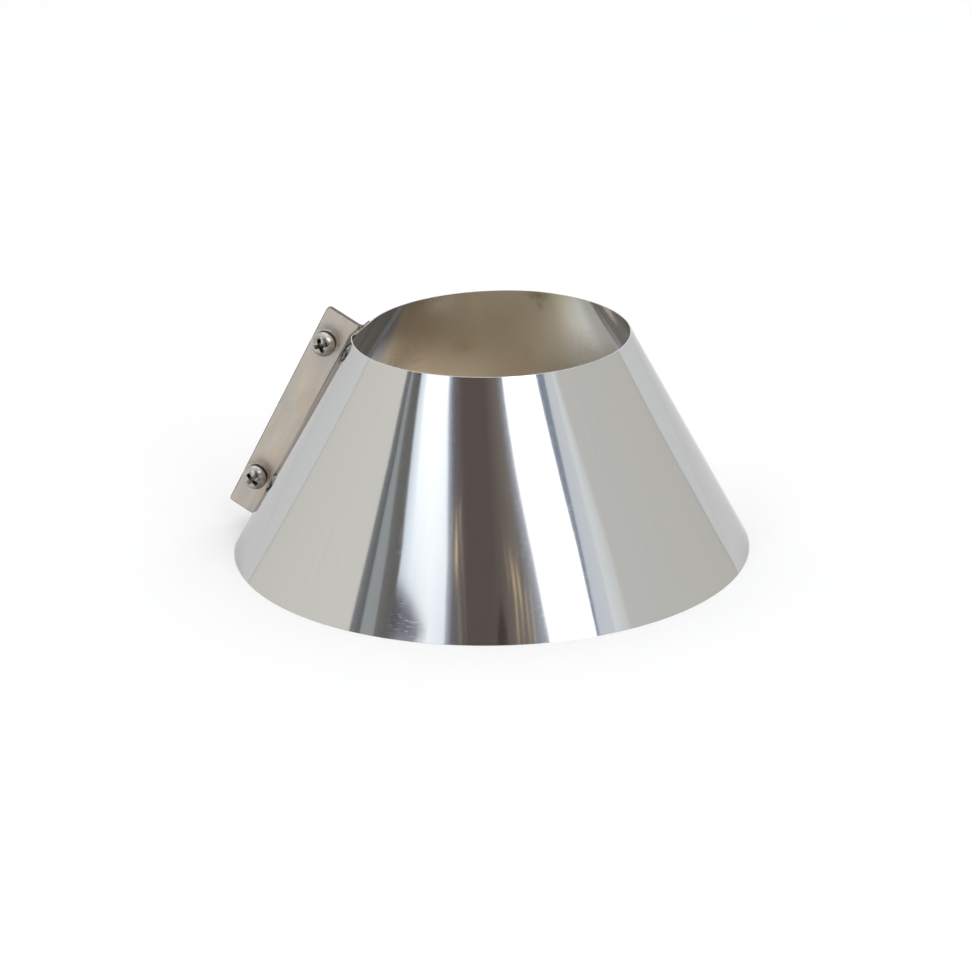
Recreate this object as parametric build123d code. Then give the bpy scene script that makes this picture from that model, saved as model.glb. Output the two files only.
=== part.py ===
from build123d import *
from math import cos, radians, sin, tan
import os

# A conical flashing collar for a round pipe. One thin stainless sheet is rolled into a cone and its two
# ends lap over each other. An L-shaped lug is welded on each end, and two screws pull the lugs together,
# which grips the pipe in the narrow top opening. The collar stands on its wide rim, open side down.
# Lengths are in millimetres, angles in degrees. The slit between the lugs faces -X.

# Cone
pipe_diameter = 130
sheet = 0.5
collar_height = 104
flare = 28.2

# Plan outline. From the slit the sheet runs flat under the front lug and turns round a small bend. Then come
# a front arc, which is pulled in a little, a true arc that fits the pipe, a tighter arc at the back, and the
# rest of the full turn behind the slit. The pulled in stretch is less round at the top rim than at the base.
slit_azimuth = 180
bend_turn = 18
front_turn = 49
true_turn = 195
tight_turn = 24
top_bend_radius = 5
top_front_radius = 58
base_bend_radius = 13.3
base_front_radius = 119.8

# Lap of the sheet ends
lap_gap = 0.15
lap_setback = 2

# Lugs. The leg is a little taller at its upper end, where it stands out past the rim. The foot ends at it.
lug_sheet = 1.0
lug_rise = 1.0
lug_to_base = 4.8
upper_leg_height = 18.2
lower_leg_height = 16.9
foot_width = 12
lug_bend = 1.0
upper_leg_corner = 2
lower_leg_corner = 1.6
foot_corner = 1

# Holes in the lugs
hole_clearance = 0.6
hole_to_free_edge = 6.9
upper_end_to_hole = 16.0
lower_end_to_hole = 19.6

# Screws, washers and nuts
screw_diameter = 6
screw_length = 16
screw_tip_chamfer = 0.8
head_diameter = 12
head_height = 4.6
head_side = 1.3
head_edge = 0.8
cross_width = 6.8
cross_floor = 2.8
cross_depth = 3.2
cross_wing = 1.7
upper_cross_turn = 45
lower_cross_turn = 72
washer_diameter = 12.5
washer_clearance = 0.4
washer_thickness = 1.6
spring_washer_diameter = 10.6
spring_washer_clearance = 0.2
spring_washer_thickness = 1.6
spring_washer_slit = 0.5
nut_width = 10
nut_height = 5
nut_chamfer = 0.5
thread_clearance = 0.05

# The sheet and the lap step, measured level instead of square to the sloping side
level_sheet = sheet / cos(radians(flare))
level_lap_step = (sheet + lap_gap) / cos(radians(flare))
top_radius = pipe_diameter / 2 + level_sheet
base_radius = top_radius + collar_height * tan(radians(flare))

bend_end = slit_azimuth + bend_turn
front_end = bend_end + front_turn
true_end = front_end + true_turn
tight_end = true_end + tight_turn
full_turn = slit_azimuth + 360
end_flat = foot_width
lap = end_flat - lap_setback


def direction(azimuth):
    return Vector(cos(radians(azimuth)), sin(radians(azimuth)), 0)


def arc_step(start, end):
    return direction(end) - direction(start)


def cross(a, b):
    return a.X * b.Y - a.Y * b.X


out_of_slit = direction(slit_azimuth)
along_slit = direction(slit_azimuth + 90)


def rim_outline(true_radius, front_radius, bend_radius):
    # The centre, outer radius, start and end of each arc of one rim, from the slit round to the slit
    front_centre = direction(front_end) * (true_radius - front_radius)
    bend_centre = front_centre + direction(bend_end) * (front_radius - bend_radius)
    slit = out_of_slit * (bend_centre.dot(out_of_slit) + bend_radius) + along_slit * slit_side
    # The two arcs behind get the radii that bring the rear end back under the front end, one lap step in
    way_left = (
        slit
        - out_of_slit * level_lap_step
        - along_slit * end_flat
        - direction(true_end) * true_radius
    )
    tight_step = arc_step(true_end, tight_end)
    back_step = arc_step(tight_end, full_turn)
    tight_radius = cross(way_left, back_step) / cross(tight_step, back_step)
    back_radius = cross(tight_step, way_left) / cross(tight_step, back_step)
    tight_centre = direction(true_end) * (true_radius - tight_radius)
    back_centre = tight_centre + direction(tight_end) * (tight_radius - back_radius)
    arcs = [
        (bend_centre, bend_radius, slit_azimuth, bend_end),
        (front_centre, front_radius, bend_end, front_end),
        (Vector(0, 0, 0), true_radius, front_end, true_end),
        (tight_centre, tight_radius, true_end, tight_end),
        (back_centre, back_radius, tight_end, full_turn),
    ]
    return slit, arcs


# How far the slit lies along its own wall from the foot of the perpendicular out of the axis. The front flat
# is as long as the foot at the top rim, and the slit runs straight down from there.
top_front_step = direction(front_end) * (top_radius - top_front_radius)
top_bend_step = direction(bend_end) * (top_front_radius - top_bend_radius)
slit_side = (top_front_step + top_bend_step).dot(along_slit) - end_flat

top_slit, top_arcs = rim_outline(top_radius, top_front_radius, top_bend_radius)
base_slit, base_arcs = rim_outline(base_radius, base_front_radius, base_bend_radius)


def rim_arc(arc, height):
    centre, radius, start, end = arc
    centre = centre + Vector(0, 0, height)
    outer = CenterArc(centre, radius, start, end - start)
    inner = CenterArc(centre, radius - level_sheet, start, end - start)
    return make_face([outer, inner, Line(outer @ 0, inner @ 0), Line(outer @ 1, inner @ 1)])


def rim_flat(start, end, height):
    corners = [start, end, end - out_of_slit * level_sheet, start - out_of_slit * level_sheet]
    return make_face(Polyline(*[corner + Vector(0, 0, height) for corner in corners], close=True))


def arc_ends(arcs):
    # Where the bend starts and where the back arc ends
    first, last = arcs[0], arcs[-1]
    return first[0] + direction(first[2]) * first[1], last[0] + direction(last[3]) * last[1]


# Collar. Each stretch of sheet runs straight from the base rim up to the top rim.
top_bend_start, top_back_end = arc_ends(top_arcs)
base_bend_start, base_back_end = arc_ends(base_arcs)
rear_run = along_slit * (end_flat + lap)
collar = loft(
    [rim_flat(base_slit, base_bend_start, 0), rim_flat(top_slit, top_bend_start, collar_height)], ruled=True
)
for base_arc, top_arc in zip(base_arcs, top_arcs):
    collar += loft([rim_arc(base_arc, 0), rim_arc(top_arc, collar_height)], ruled=True)
collar += loft(
    [
        rim_flat(base_back_end, base_back_end + rear_run, 0),
        rim_flat(top_back_end, top_back_end + rear_run, collar_height),
    ],
    ruled=True,
)

# Both lugs share one place, at the lugs' top end in the outer face of the front sheet end. X runs down the
# slope, Y to the front along the sheet and Z out of the sheet. The legs meet in the plane Y = 0.
slit_line = base_slit - top_slit - Vector(0, 0, collar_height)
down_slope = slit_line.normalized()
slit_top = top_slit + Vector(0, 0, collar_height)
out_of_sheet = down_slope.cross(along_slit)
lug_place = Plane(origin=slit_top - down_slope * lug_rise, x_dir=down_slope, z_dir=out_of_sheet)
rear_seat = -level_lap_step * out_of_slit.dot(out_of_sheet)
lug_length = slit_line.length + lug_rise - lug_to_base


def hole_spot(along):
    # The leg's free edge slopes a little, and each hole is the same distance below it
    leg_height = upper_leg_height + (lower_leg_height - upper_leg_height) * along / lug_length
    return along, leg_height - hole_to_free_edge


hole_spots = [hole_spot(upper_end_to_hole), hole_spot(lug_length - lower_end_to_hole)]


def leg_outline(lowest):
    # The leg seen from the front, down to this height
    corners = [(0, lowest), (lug_length, lowest), (lug_length, lower_leg_height), (0, upper_leg_height)]
    outline = make_face(Polyline(*corners, close=True))
    for corner, rounding in ((corners[2], lower_leg_corner), (corners[3], upper_leg_corner)):
        outline = fillet(outline.vertices().sort_by_distance(corner)[0], rounding)
    return outline


def lug(seat):
    # An L folded from strip, its foot on the height of its seat, its leg standing at Y = 0
    outline = Polyline(
        (0, seat),
        (foot_width, seat),
        (foot_width, seat + lug_sheet),
        (lug_sheet, seat + lug_sheet),
        (lug_sheet, upper_leg_height),
        (0, upper_leg_height),
        close=True,
    )
    profile = make_face(outline)
    outer_corner = profile.vertices().sort_by_distance((0, seat))[0]
    inner_corner = profile.vertices().sort_by_distance((lug_sheet, seat + lug_sheet))[0]
    profile = fillet(outer_corner, lug_bend + lug_sheet)
    profile = fillet(profile.vertices().sort_by_distance(inner_corner.center())[0], lug_bend)
    folded = extrude(Plane.YZ * profile, amount=lug_length)
    fold_radius = lug_bend + lug_sheet
    past_rim = Box(lug_rise, foot_width, 2 * lug_sheet, align=(Align.MIN, Align.MIN, Align.MIN))
    folded -= Pos(0, fold_radius, seat) * past_rim
    foot_edges = folded.edges().filter_by(Axis.Z).group_by(Axis.Y)[-1]
    folded = fillet(foot_edges, foot_corner)
    folded &= extrude(Plane.XZ * leg_outline(seat), amount=2 * foot_width, both=True)
    for along, height in hole_spots:
        drill = Cylinder((screw_diameter + hole_clearance) / 2, 4 * lug_sheet, rotation=(90, 0, 0))
        folded -= Pos(along, 0, height) * drill
    return folded


front_lug = lug_place * lug(0)
rear_lug = lug_place * mirror(lug(rear_seat), about=Plane.XZ)


def pan_head_screw(cross_turn):
    # Along +Z from the bearing face under the head
    crown = (head_diameter**2 / 4 - (head_height - head_side) ** 2) / (2 * (head_height - head_side))
    crown_radius = head_height - head_side + crown
    side = Line((head_diameter / 2, 0), (head_diameter / 2, head_side))
    dome = RadiusArc((head_diameter / 2, head_side), (0, head_height), -crown_radius)
    base = Polyline((0, head_height), (0, 0), (head_diameter / 2, 0))
    half_head = make_face([side, dome, base])
    shoulder = half_head.vertices().sort_by_distance((head_diameter / 2, head_side))[0]
    head = revolve(Plane.XZ * fillet(shoulder, head_edge), Axis.Z)
    wing_side = Polyline(
        (-cross_width / 2, head_height),
        (-cross_floor / 2, head_height - cross_depth),
        (cross_floor / 2, head_height - cross_depth),
        (cross_width / 2, head_height),
        close=True,
    )
    wing = extrude(Plane.XZ * make_face(wing_side), amount=cross_wing / 2, both=True)
    for turn in (0, 90):
        head -= Rot(0, 0, cross_turn + turn) * wing
    shank = Cylinder(screw_diameter / 2, screw_length, align=(Align.CENTER, Align.CENTER, Align.MAX))
    shank = chamfer(shank.edges().sort_by(Axis.Z)[0], screw_tip_chamfer)
    return head + shank


def washer():
    rest = (Align.CENTER, Align.CENTER, Align.MAX)
    ring = Cylinder(washer_diameter / 2, washer_thickness, align=rest)
    return ring - Cylinder((screw_diameter + washer_clearance) / 2, washer_thickness, align=rest)


def spring_washer():
    # A ring with a slanting slit, pressed flat under the head
    rest = (Align.CENTER, Align.CENTER, Align.MAX)
    ring = Cylinder(spring_washer_diameter / 2, spring_washer_thickness, align=rest)
    ring -= Cylinder((screw_diameter + spring_washer_clearance) / 2, spring_washer_thickness, align=rest)
    slit = Box(
        spring_washer_diameter,
        spring_washer_slit,
        4 * spring_washer_thickness,
        align=(Align.MIN, Align.CENTER, Align.CENTER),
    )
    return ring - Pos(0, 0, -spring_washer_thickness / 2) * Rot(30, 0, 0) * slit


def hexagon_nut():
    # Hangs down from Z = 0, the face that lies on the lug
    hexagon = RegularPolygon(nut_width / 2, 6, major_radius=False)
    body = extrude(hexagon, amount=-nut_height)
    turned = Cylinder(
        nut_width / 2 / cos(radians(30)), nut_height, align=(Align.CENTER, Align.CENTER, Align.MAX)
    )
    turned = chamfer(turned.edges().filter_by(GeomType.CIRCLE), nut_chamfer)
    bore = Cylinder(screw_diameter / 2 + thread_clearance, 2 * nut_height)
    return (body & turned) - bore


def on_lugs(spot, distance):
    # A place on a hole's axis, this far in front of the plane where the legs meet, facing the front
    along, height = spot
    return lug_place * Pos(along, distance, height) * Rot(-90, 0, 0)


upper_hole, lower_hole = hole_spots
washer_face = lug_sheet + washer_thickness
head_seat = washer_face + spring_washer_thickness

parts = {
    "collar": collar,
    "front_lug": front_lug,
    "rear_lug": rear_lug,
    "upper_screw": on_lugs(upper_hole, head_seat) * pan_head_screw(upper_cross_turn),
    "lower_screw": on_lugs(lower_hole, head_seat) * pan_head_screw(lower_cross_turn),
    "upper_washer": on_lugs(upper_hole, washer_face) * washer(),
    "lower_washer": on_lugs(lower_hole, washer_face) * washer(),
    "upper_spring_washer": on_lugs(upper_hole, head_seat) * spring_washer(),
    "lower_spring_washer": on_lugs(lower_hole, head_seat) * spring_washer(),
    "upper_nut": on_lugs(upper_hole, -lug_sheet) * hexagon_nut(),
    "lower_nut": on_lugs(lower_hole, -lug_sheet) * hexagon_nut(),
}

os.makedirs("parts", exist_ok=True)
for name, solid in parts.items():
    export_step(solid, f"parts/{name}.step")
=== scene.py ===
# %% [markdown]
# # A conical flashing collar for a round pipe
#
# One thin stainless sheet is rolled into a cone, and its two ends lap over each other at the left. An
# L-shaped lug sits on each end, and two pan head screws with washers and nuts pull the lugs together, so
# that the narrow opening grips the pipe. The outside of the sheet is a mirror, the inside is duller and
# stained, and the lugs are satin.
#
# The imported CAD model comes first. It says where every piece is, and nothing here moves it. Each piece
# below is modelled again with more detail in the very place of its CAD node.

from math import asin, atan2, cos, degrees, pi, radians, sin, tan

import bmesh
import bpy
from mathutils import Matrix, Vector


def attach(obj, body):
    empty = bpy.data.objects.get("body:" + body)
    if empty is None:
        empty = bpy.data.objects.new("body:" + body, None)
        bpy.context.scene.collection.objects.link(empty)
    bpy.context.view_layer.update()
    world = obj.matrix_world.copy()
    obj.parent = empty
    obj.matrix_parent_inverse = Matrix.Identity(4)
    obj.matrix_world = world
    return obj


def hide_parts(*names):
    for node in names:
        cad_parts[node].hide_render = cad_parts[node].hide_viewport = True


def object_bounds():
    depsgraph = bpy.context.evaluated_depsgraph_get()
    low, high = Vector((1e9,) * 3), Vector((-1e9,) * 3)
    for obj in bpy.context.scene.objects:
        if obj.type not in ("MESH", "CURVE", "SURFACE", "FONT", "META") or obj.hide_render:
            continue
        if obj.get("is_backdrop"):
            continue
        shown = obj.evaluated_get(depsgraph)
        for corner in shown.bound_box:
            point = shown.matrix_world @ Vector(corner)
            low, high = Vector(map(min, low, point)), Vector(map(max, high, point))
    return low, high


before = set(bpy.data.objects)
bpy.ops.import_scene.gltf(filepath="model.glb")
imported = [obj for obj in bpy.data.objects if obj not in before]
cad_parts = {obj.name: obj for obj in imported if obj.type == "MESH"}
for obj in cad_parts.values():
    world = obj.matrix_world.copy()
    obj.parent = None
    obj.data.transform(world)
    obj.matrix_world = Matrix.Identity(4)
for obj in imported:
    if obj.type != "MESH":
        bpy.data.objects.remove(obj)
cad_low, cad_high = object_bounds()
print("CAD nodes:", sorted(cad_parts))
print("CAD box in mm:", [round(1000 * x, 1) for x in (*cad_low, *cad_high)])

# %% [markdown]
# ## The cone's sizes
#
# The sizes are those of the CAD source. They are kept as named values, because three later steps need
# them: the collar's own mesh, the lugs that sit on it, and the soft boxes that are placed by the streaks
# they make in the mirror. Azimuths are seen from above, from +X towards +Y, and the slit faces -X.

# %% The cone's sizes
mm = 0.001
collar_height = 104 * mm
sheet = 0.5 * mm
lap_gap = 0.15 * mm
flare = radians(28.2)
level_sheet = sheet / cos(flare)
top_radius = 65 * mm + level_sheet
base_radius = top_radius + collar_height * tan(flare)

# From the slit round to the slit again: a flat end, a small bend, a front arc that is pulled in a little,
# the true arc, a tighter arc at the back, the rest of the turn, and the other flat end with the lap
slit_azimuth = 180
bend_turn = 18
front_turn = 49
true_turn = 195
tight_turn = 24
end_flat = 12 * mm
lap = 10 * mm


def direction(azimuth):
    return Vector((cos(radians(azimuth)), sin(radians(azimuth)), 0))


def outer_radius(height):
    return top_radius + (collar_height - height) * tan(flare)


print(f"top radius {top_radius / mm:.1f} mm, base radius {base_radius / mm:.1f} mm")

# %% [markdown]
# ## The camera
#
# The camera was fitted to the outlines of both rims in the photograph, so it has numbers and not a
# pleasant guess. A long lens from 1.4 m away gives the nearly parallel look of a catalogue picture.

# %% Set up the camera
camera_place = Vector((0.413143, -1.249229, 0.530228))
camera_right = Vector((0.95027609, 0.31118472, -0.01180783))
camera_up = Vector((-0.10051007, 0.34237813, 0.93417073))
camera_back = Vector((0.29474240, -0.88653330, 0.35663094))

lens = bpy.data.cameras.new("camera")
lens.sensor_width = 36
lens.lens = 111.367
lens.clip_start = 0.05
lens.clip_end = 60
camera = bpy.data.objects.new("camera", lens)
bpy.context.scene.collection.objects.link(camera)
turn = Matrix((camera_right, camera_up, camera_back)).transposed()
camera.matrix_world = Matrix.Translation(camera_place) @ turn.to_4x4()
bpy.context.scene.camera = camera
bpy.context.scene.view_settings.view_transform = "Standard"
looking_down = degrees(asin(camera_back.z))
print(f"camera {camera_place.length:.2f} m from the origin, looking down at {looking_down:.1f} degrees")

# %% [markdown]
# ## Small helpers
#
# A new piece is a mesh whose object stays at the origin, unturned. Its shading is smooth across the
# small steps of a curve and sharp across real edges, which matters more on a mirror than on anything
# else: one wrong normal bends every reflection.

# %% Helpers for pieces
sharp_angle = radians(14)


def finish_piece(bm, name, materials, sharp=sharp_angle):
    mesh = bpy.data.meshes.new(name)
    bm.to_mesh(mesh)
    bm.free()
    for face in mesh.polygons:
        face.use_smooth = True
    mesh.set_sharp_from_angle(angle=sharp)
    for material in materials:
        mesh.materials.append(material)
    piece = bpy.data.objects.new(name, mesh)
    bpy.context.scene.collection.objects.link(piece)
    print(f"{name}: {len(mesh.polygons)} faces")
    return piece


def stand_for(piece, node):
    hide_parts(node)
    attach(piece, "root")


def loop_of(bm, corners):
    """A closed ring of edges through these corners, with no face in it."""
    verts = [bm.verts.new(corner) for corner in corners]
    return [bm.edges.new(pair) for pair in zip(verts, verts[1:] + verts[:1])]


def line_of(bm, corners):
    """An open line of edges through these corners."""
    verts = [bm.verts.new(corner) for corner in corners]
    return [bm.edges.new(pair) for pair in zip(verts, verts[1:])]


def verts_of(edges):
    return list({vert for edge in edges for vert in edge.verts})


def edges_of(faces):
    return list({edge for face in faces for edge in face.edges})


def verts_in(geom):
    return [item for item in geom if isinstance(item, bmesh.types.BMVert)]


def edges_in(geom):
    return [item for item in geom if isinstance(item, bmesh.types.BMEdge)]


def faces_in(geom):
    return [item for item in geom if isinstance(item, bmesh.types.BMFace)]


def height_of(vert):
    return vert.co.z


# %% Helpers that round, spin and cut
def round_corners(bm, verts, radius, segments):
    bmesh.ops.bevel(
        bm, geom=verts, offset=radius, segments=segments, profile=0.5, affect="VERTICES", material=-1
    )


def rounded_section(bm, corners, radius, segments):
    """A closed ring of edges through these corners, each of them rounded."""
    bmesh.ops.contextual_create(bm, geom=loop_of(bm, corners))
    round_corners(bm, bm.verts[:], radius, segments)
    bmesh.ops.delete(bm, geom=bm.faces[:], context="FACES_ONLY")


def spin(bm, edges, angle, steps, centre=(0, 0, 0), axis=(0, 0, 1), **more):
    """Sweeps these edges round an axis, which is Z if none is named."""
    geom = edges + verts_of(edges)
    return bmesh.ops.spin(bm, geom=geom, cent=centre, axis=axis, angle=angle, steps=steps, **more)


def cut_at(bm, geom, place, way, clear=False, close=1e-8):
    """Cuts by the plane at this place that faces this way. With clear, what lies beyond it goes."""
    return bmesh.ops.bisect_plane(
        bm, geom=geom, dist=close, plane_co=place, plane_no=way, clear_outer=clear, clear_inner=False
    )["geom_cut"]


# %% Helpers for materials
def new_material(name):
    """A material and its shader, which already feeds the output."""
    material = bpy.data.materials.new(name)
    material.use_nodes = True
    return material, material.node_tree.nodes["Principled BSDF"]


def fill(tree, node, **sockets):
    """Sets inputs by name, or by number as _0, _1 and so on: an output is linked, a value is set."""
    for name, value in sockets.items():
        key = int(name[1:]) if name[0] == "_" else name.replace("_", " ")
        if isinstance(value, bpy.types.NodeSocket):
            tree.links.new(value, node.inputs[key])
        else:
            node.inputs[key].default_value = value
    return node


def add(tree, kind, **sockets):
    return fill(tree, tree.nodes.new(kind), **sockets)


def ramp(tree, factor, *stops):
    """A colour ramp from pairs of a place and a colour or a grey."""
    node = add(tree, "ShaderNodeValToRGB", Fac=factor)
    band = node.color_ramp
    while len(band.elements) < len(stops):
        band.elements.new(0.5)
    for element, (place, tone) in zip(band.elements, stops):
        element.position = place
        element.color = (*tone, 1) if isinstance(tone, tuple) else (tone, tone, tone, 1)
    return node.outputs["Color"]


def mix_colour(tree, factor, first, second, blend="MIX"):
    node = tree.nodes.new("ShaderNodeMix")
    node.data_type = "RGBA"
    node.blend_type = blend
    first, second = ((*tone, 1) if isinstance(tone, tuple) else tone for tone in (first, second))
    return fill(tree, node, _0=factor, _6=first, _7=second).outputs[2]


def reckon(tree, operation, first, second=0.0):
    node = add(tree, "ShaderNodeMath", _0=first, _1=second)
    node.operation = operation
    return node.outputs[0]


def reckon_vector(tree, operation, first, second=(0, 0, 0)):
    node = add(tree, "ShaderNodeVectorMath", _0=first, _1=second)
    node.operation = operation
    return node


# %% [markdown]
# ## The floor and the even light
#
# A mirror has almost no colour of its own, so what stands round the collar is half of its look. The
# photograph looks as if it was taken in a white tent. Its plain part is an even white world, a pale
# floor, and a wide soft box overhead, which lights the floor and the inside of the cone. None of it is in
# the picture, apart from the floor.

# %% Make the floor, the even light and the overhead soft box
world = bpy.data.worlds.new("white_tent")
world.use_nodes = True
world.node_tree.nodes["Background"].inputs["Color"].default_value = (1, 1, 1, 1)
world.node_tree.nodes["Background"].inputs["Strength"].default_value = 1.0
bpy.context.scene.world = world


def glowing(name, colour=None, strength=1.0):
    """A plain light of one colour. Without a colour it glows as its mesh's attribute "light" says."""
    material = bpy.data.materials.new(name)
    material.use_nodes = True
    tree = material.node_tree
    tree.nodes.clear()
    if colour is None:
        carried = add(tree, "ShaderNodeAttribute")
        carried.attribute_name = "light"
        colour = carried.outputs["Color"]
    glow = add(tree, "ShaderNodeEmission", Color=colour, Strength=strength)
    add(tree, "ShaderNodeOutputMaterial", Surface=glow.outputs[0])
    return material


def stage_piece(bm, name, materials, seen=True):
    piece = finish_piece(bm, name, materials)
    piece.visible_camera = seen
    piece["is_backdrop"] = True
    return piece


floor_finish, floor_shader = new_material("pale_floor")
pale = (0.92, 0.92, 0.92, 1)
fill(floor_finish.node_tree, floor_shader, Base_Color=pale, Roughness=0.9, Specular_IOR_Level=0.1)

floor_reach = 12
overhead_reach = 1.1
overhead_height = 2.6
a_hair = 0.02 * mm


def stage_square(name, reach, height, material, seen=True):
    bm = bmesh.new()
    bmesh.ops.create_grid(bm, x_segments=1, y_segments=1, size=reach)
    bmesh.ops.translate(bm, vec=(0, 0, height), verts=bm.verts)
    stage_piece(bm, name, [material], seen)


stage_square("floor", floor_reach, -a_hair, floor_finish)
overhead_glow = glowing("overhead_glow", (1, 1, 1, 1), 1.6)
stage_square("overhead_softbox", overhead_reach, overhead_height, overhead_glow, seen=False)

# %% [markdown]
# ## The lamp through the opening
#
# The far right of the inside is brighter than the rest. The wall there mirrors the ground inside the cone,
# so the light must lie on the ground: a lamp at the front right shines in through the opening and makes a
# soft spot at the back. A spot lamp does the same, and it is narrow enough to touch nothing else.

# %% Aim the lamp
spot_on_ground = Vector((-48, 87, 0)) * mm
in_opening = Vector((0, -8, 104)) * mm
beam = (in_opening - spot_on_ground).normalized()
lamp_distance = 1.5
beam_radius = 36 * mm
light = bpy.data.lights.new("opening_lamp", "SPOT")
light.energy = 62
light.spot_size = 2 * asin(beam_radius / lamp_distance)
light.spot_blend = 1.0
light.shadow_soft_size = 0.01
lamp = bpy.data.objects.new("opening_lamp", light)
lamp.visible_glossy = False
lamp_aim = beam.to_track_quat("Z", "Y").to_matrix().to_4x4()
lamp.matrix_world = Matrix.Translation(spot_on_ground + beam * lamp_distance) @ lamp_aim
bpy.context.scene.collection.objects.link(lamp)
print("lamp stands at", [round(x, 2) for x in lamp.location])

# %% [markdown]
# ## The panels in the mirror
#
# Each streak down the front of the collar is the reflection of something tall that stands in front of
# it: two soft boxes, the dark room between them, and the grey walls of the tent. A panel could be placed
# by trial, but it is quicker to work backwards. The camera's line of sight to a streak's edge is turned
# round by the mirror there, and it is followed out to the tent, at the top rim and at the bottom rim.
# The panel's edge stands where the two lines arrive.

# %% Follow the line of sight off the mirror
tent_radius = 2.3
panel_low = 0.02
panel_high = 2.5


def bounce(azimuth, height, radius=tent_radius):
    """The spot where the line of sight to this place on the cone meets the tent, after the mirror."""
    spot = direction(azimuth) * outer_radius(height) + Vector((0, 0, height))
    normal = direction(azimuth) * cos(flare) + Vector((0, 0, sin(flare)))
    sight = (spot - camera_place).normalized()
    away = sight - 2 * sight.dot(normal) * normal
    flat = Vector((away.x, away.y))
    start = Vector((spot.x, spot.y))
    half = start.dot(flat) / flat.dot(flat)
    rest = (radius**2 - start.dot(start)) / flat.dot(flat)
    reach = -half + (half * half + rest) ** 0.5
    return spot + away * reach


levels = [0.0, collar_height / 3, collar_height * 2 / 3, collar_height]


def panel_edge(azimuths):
    """The corners of a panel's edge, from low to high, for a streak's edge from the bottom to the top rim."""
    line = [bounce(azimuth, height) for azimuth, height in zip(azimuths, levels)]
    lowest = Vector((line[0].x, line[0].y, min(panel_low, line[0].z - 0.1)))
    highest = Vector((line[-1].x, line[-1].y, max(panel_high, line[-1].z + 0.1)))
    return [lowest, *line, highest]


# %% Make the glow that the panels share
# Each corner of a panel carries its own light in a colour attribute, so a panel fades from one edge to
# the next, as a soft box and a dim room really do
tent_glow = glowing("tent_glow")


def light_corners(layer, faces, lights):
    """Gives each corner of these faces the light of its vertex."""
    for face in faces:
        for corner in face.loops:
            corner[layer] = (*lights[corner.vert], 1)


def faded(light, height):
    """A light is one tone, or a pair of tones for the bottom rim and the top rim."""
    if not isinstance(light[0], tuple):
        return light
    share = min(max(height / collar_height, 0), 1)
    return tuple(low + (high - low) * share for low, high in zip(*light))


# %% Stand the panels
# The streaks' edges from left to right, each as its azimuths at the bottom rim, a third and two thirds
# of the way up, and at the top rim, with the light just right of it and the light just left of the next
dim = (0.175, 0.139, 0.129)
soft_left = ((1.38, 1.48, 1.60), (2.0, 2.12, 2.25))
soft_left_middle = ((1.58, 1.66, 1.76), (2.05, 2.12, 2.2))
shaded_wall = ((0.90, 0.98, 1.10), (0.96, 1.0, 1.04))

streaks = [
    ("left_far_wall", (-160.0, -158.0, -156.0, -154.0), (0.95, 0.96, 0.96), (1.01, 1.03, 1.04)),
    ("left_wall_seam", (-139.5, -136.0, -132.5, -128.8), (0.82, 0.81, 0.79), (0.79, 0.77, 0.74)),
    ("left_wall", (-138.8, -135.3, -131.8, -128.1), (0.975, 0.965, 0.91), (1.04, 1.03, 0.975)),
    ("left_gap_dark", (-103.0, -103.1, -103.55, -105.0), (0.36, 0.365, 0.375), (0.17, 0.18, 0.20)),
    ("left_gap_light", (-100.4, -100.8, -101.5, -103.2), (0.50, 0.54, 0.56), (0.50, 0.53, 0.54)),
    ("left_gap_brown", (-97.1, -97.9, -99.9, -102.0), (0.26, 0.265, 0.265), (0.185, 0.175, 0.165)),
    ("left_softbox_cool", (-93.4, -94.0, -96.1, -98.6), (1.15, 1.27, 1.42), (1.5, 1.62, 1.78)),
    ("left_softbox", (-90.5, -91.4, -93.6, -96.4), soft_left, soft_left_middle),
    ("left_softbox_right_half", (-86.0, -86.8, -88.9, -91.7), soft_left_middle, soft_left),
    ("room_left_edge", (-81.6, -82.4, -84.4, -87.2), (0.78, 0.84, 0.98), (0.28, 0.28, 0.33)),
    ("room_left", (-80.3, -80.9, -82.8, -85.6), (0.25, 0.24, 0.27), dim),
    ("room", (-77.0, -77.7, -79.6, -82.2), dim, dim),
    ("room_right", (-71.5, -71.4, -72.2, -73.8), dim, (0.30, 0.262, 0.235)),
    ("room_right_edge", (-63.4, -64.4, -66.6, -69.0), (0.29, 0.285, 0.295), (0.62, 0.66, 0.78)),
    ("right_softbox", (-59.7, -61.6, -64.3, -66.8), (2.2, 2.25, 2.4), (3.0, 3.0, 3.0)),
    ("right_softbox_bright", (-58.5, -60.4, -63.0, -65.5), (3.2, 3.2, 3.2), (3.2, 3.2, 3.2)),
    ("right_gap_blue", (-49.6, -50.2, -51.8, -53.7), (0.30, 0.35, 0.48), (0.36, 0.42, 0.53)),
    ("near_wall_shaded", (-48.9, -49.0, -49.6, -50.4), shaded_wall, (0.98, 1.03, 1.10)),
    ("near_wall", (-45.2, -45.3, -45.9, -46.9), (1.14, 1.19, 1.23), (0.96, 0.985, 0.985)),
    ("right_wall", (-41.6, -41.7, -43.2, -45.4), (0.865, 0.86, 0.84), (0.835, 0.825, 0.775)),
    ("right_wall_seam", (-3.1, -5.2, -7.6, -9.7), (0.66, 0.65, 0.63), (0.74, 0.73, 0.72)),
    ("right_far_wall", (-2.4, -4.5, -6.9, -9.0), (1.0, 1.03, 1.045), (0.99, 1.01, 1.02)),
    ("end", (18.0, 18.0, 18.0, 18.0), None, None),
]

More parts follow.
